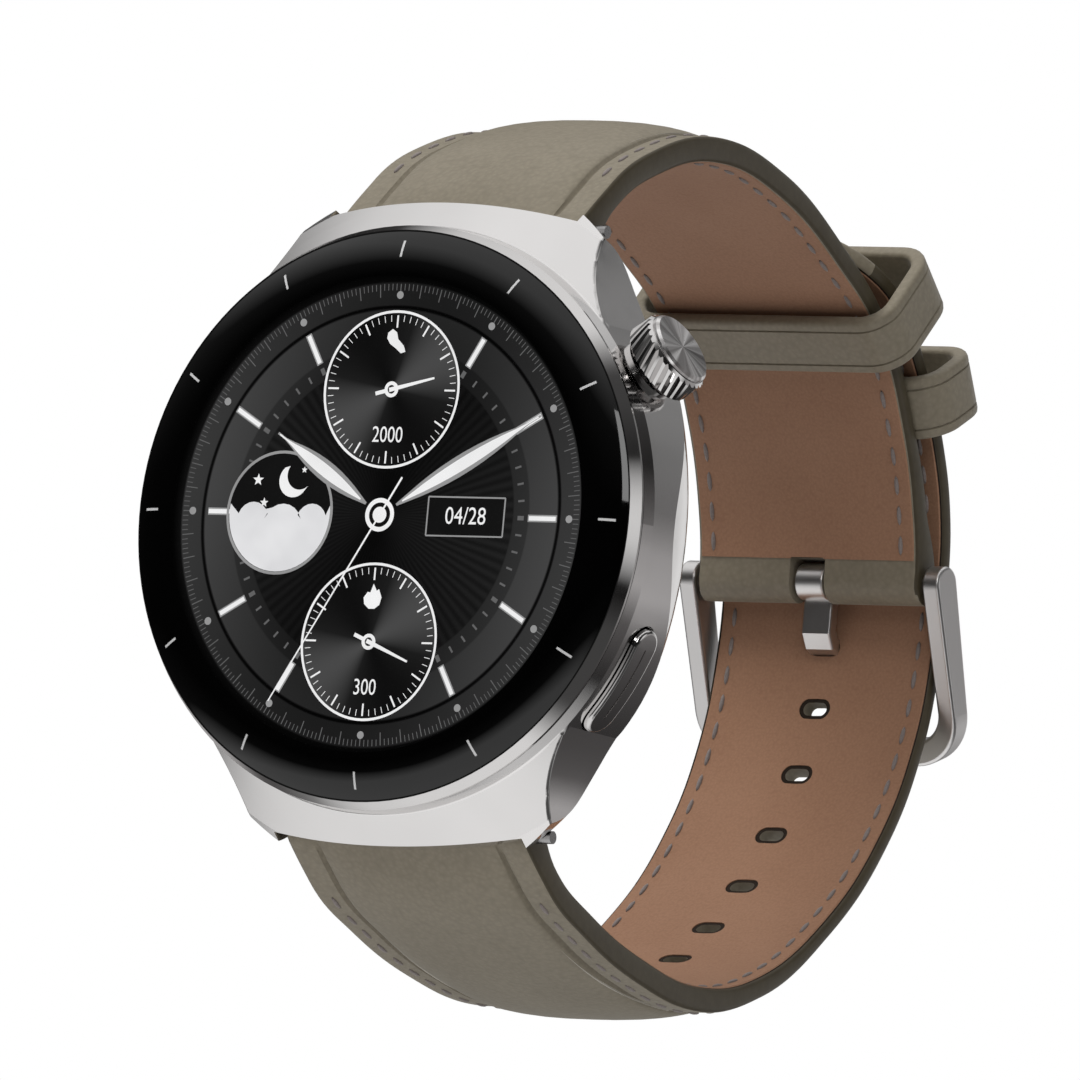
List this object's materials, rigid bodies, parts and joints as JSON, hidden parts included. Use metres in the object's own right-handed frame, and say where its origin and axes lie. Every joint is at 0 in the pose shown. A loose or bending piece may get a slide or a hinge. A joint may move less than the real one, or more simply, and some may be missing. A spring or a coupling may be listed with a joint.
{
  "type": "smartwatch",
  "caption": "Smartwatch with a round steel case, domed black glass, fluted crown and side key, on a closed padded leather strap with a pin buckle and keepers.",
  "frame": {"origin": "centre of the sensor window's outer face on the back of the case, which rests on the wrist or on a charger", "axes": "+Z towards 12 o'clock, +X towards 3 o'clock (the crown's side), +Y out of the back towards the wrist; the dial faces -Y"},
  "size_m": [0.0462, 0.0722, 0.0688],
  "materials": {
    "case_steel": "fine satin front, polished sides",
    "polished_steel": "mirror polished",
    "crown_cap_steel": "circular brushed",
    "plain_steel": "fine turned",
    "buckle_steel": "polished edges, satin faces",
    "cover_glass": "polished, black printed border",
    "sensor_glass": "polished black",
    "display": "gloss",
    "black_rubber": "matte",
    "black_plastic": "moulded",
    "battery_foil": "satin foil",
    "circuit_board": "solder mask",
    "chip_black": "moulded",
    "copper": "enamelled wire",
    "back_ceramic": "satin black",
    "outer_leather": "grained, painted edges",
    "lining_leather": "smooth nubuck",
    "padding_foam": "dense foam"
  },
  "bodies": {
    "case": {"top_case": "case_steel", "bezel_ring": "polished_steel", "cover_glass": "cover_glass", "display_panel": "display", "front_gasket": "black_rubber", "inner_frame": "black_plastic", "battery": "battery_foil", "main_board": "circuit_board", "processor": "chip_black", "memory_chips": "chip_black", "vibration_motor": "plain_steel", "speaker": "black_plastic", "microphone": "plain_steel", "sensor_board": "circuit_board", "optical_sensors": "sensor_glass", "charging_coil": "copper", "back_cover": "back_ceramic", "back_screws": "plain_steel", "sensor_window": "sensor_glass", "crown_tube": "polished_steel", "crown_switch": "black_plastic", "key_switch": "black_plastic", "spring_bar_12": "plain_steel", "spring_bar_6": "plain_steel", "strap_12_lining": "lining_leather", "strap_12_leather": "outer_leather", "strap_12_padding": "padding_foam", "strap_6_lining": "lining_leather", "strap_6_leather": "outer_leather", "strap_6_padding": "padding_foam", "fixed_keeper": "outer_leather"},
    "crown_carrier": {"crown_carrier": "black_plastic"},
    "crown": {"crown_head": "polished_steel", "crown_cap": "crown_cap_steel", "crown_stem": "plain_steel"},
    "side_key": {"side_key": "polished_steel", "key_plunger": "plain_steel"},
    "buckle_frame": {"buckle_frame": "buckle_steel", "buckle_bar": "plain_steel"},
    "buckle_tongue": {"buckle_tongue": "buckle_steel"},
    "floating_keeper": {"floating_keeper": "outer_leather"},
    "release_pin_12": {"release_pin_12": "plain_steel"},
    "release_pin_6": {"release_pin_6": "plain_steel"}
  },
  "joints": [
    {"name": "crown_press", "type": "slide", "parent": "case", "child": "crown_carrier", "axis": [-0.8387, 0, -0.5446], "range_m": [0, 0.00035], "stiffness_N_per_m": 1500, "springref_m": -0.0002},
    {"name": "crown_turn", "type": "hinge", "parent": "crown_carrier", "child": "crown", "pos_m": [0, -0.0052, 0], "axis": [0.8387, 0, 0.5446], "continuous": true},
    {"name": "side_key_press", "type": "slide", "parent": "case", "child": "side_key", "axis": [-0.8572, 0, 0.515], "range_m": [0, 0.0003], "stiffness_N_per_m": 1500, "springref_m": -0.0002},
    {"name": "buckle_swing", "type": "hinge", "parent": "case", "child": "buckle_frame", "pos_m": [0, 0.0528, 0.0037], "axis": [1, 0, 0], "range_deg": [-4, 0]},
    {"name": "tongue_swing", "type": "hinge", "parent": "case", "child": "buckle_tongue", "pos_m": [0, 0.0528, 0.0037], "axis": [1, 0, 0], "range_deg": [0, 4]},
    {"name": "keeper_slide", "type": "slide", "parent": "case", "child": "floating_keeper", "axis": [0, 0.7398, -0.6728], "range_m": [-0.0015, 0.0015]},
    {"name": "release_12", "type": "slide", "parent": "case", "child": "release_pin_12", "axis": [1, 0, 0], "range_m": [0, 0.0015], "stiffness_N_per_m": 300, "springref_m": -0.0005},
    {"name": "release_6", "type": "slide", "parent": "case", "child": "release_pin_6", "axis": [1, 0, 0], "range_m": [0, 0.0015], "stiffness_N_per_m": 300, "springref_m": -0.0005}
  ]
}
